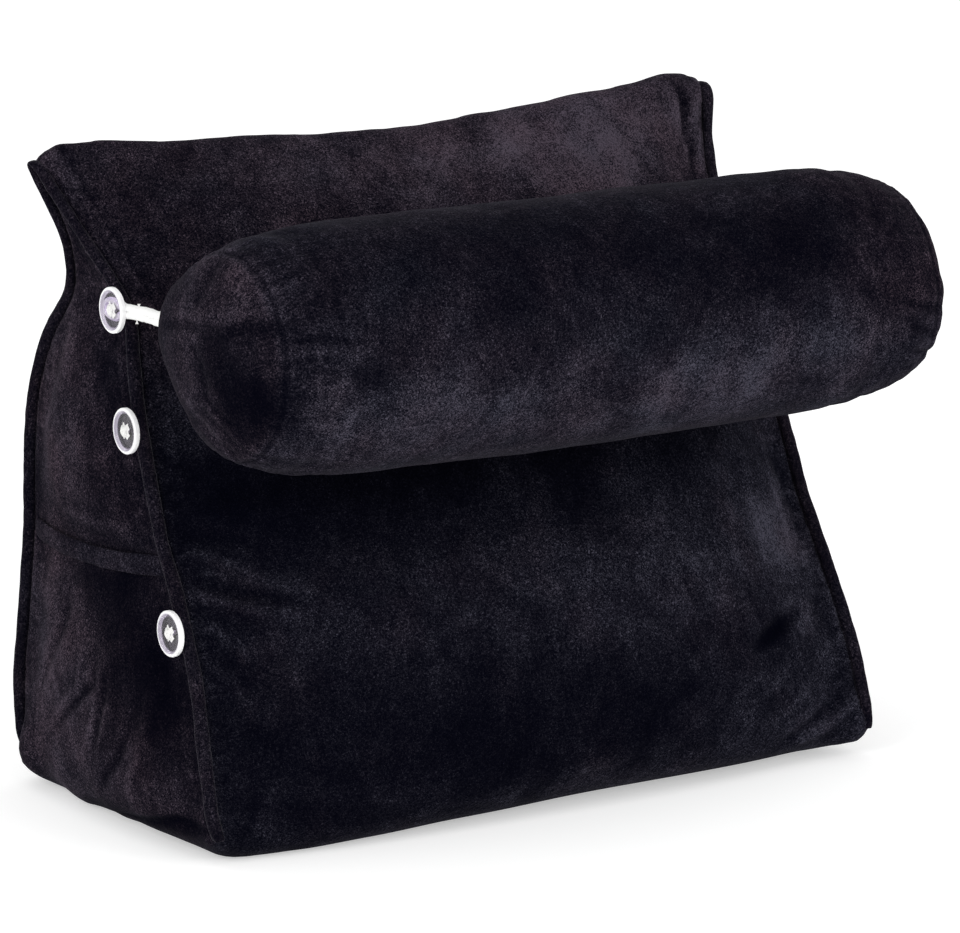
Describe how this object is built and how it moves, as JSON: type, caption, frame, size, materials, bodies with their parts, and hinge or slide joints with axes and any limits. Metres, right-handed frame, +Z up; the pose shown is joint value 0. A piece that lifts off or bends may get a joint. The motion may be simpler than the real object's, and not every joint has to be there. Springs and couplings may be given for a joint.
{
  "type": "wedge backrest pillow",
  "caption": "Plush wedge backrest pillow with piped sides and a round bolster that elastic loops hook to buttons.",
  "frame": {"origin": "on the floor, under the middle of the whole pillow with its bolster", "axes": "+Z up, -Y towards the bolster side where the sitter is, +X along the width, to the right seen from the front"},
  "size_m": [0.4696, 0.3324, 0.3823],
  "materials": {
    "velvet": "black plush pile",
    "piping": "black plush pile over a cord",
    "clear_plastic": "clear gloss",
    "thread": "matt white thread",
    "elastic": "matt white braided elastic"
  },
  "bodies": {
    "root": {"wedge_cushion": "velvet", "bolster_roll": "velvet", "zip_flap_left": "velvet", "piping_left": "piping", "piping_right": "piping", "button_left_1": "clear_plastic", "button_left_2": "clear_plastic", "button_left_3": "clear_plastic", "button_right_1": "clear_plastic", "button_right_2": "clear_plastic", "button_right_3": "clear_plastic", "button_thread_left_1": "thread", "button_thread_left_2": "thread", "button_thread_left_3": "thread", "button_thread_right_1": "thread", "button_thread_right_2": "thread", "button_thread_right_3": "thread", "elastic_loop_left": "elastic", "elastic_loop_right": "elastic"}
  },
  "joints": []
}
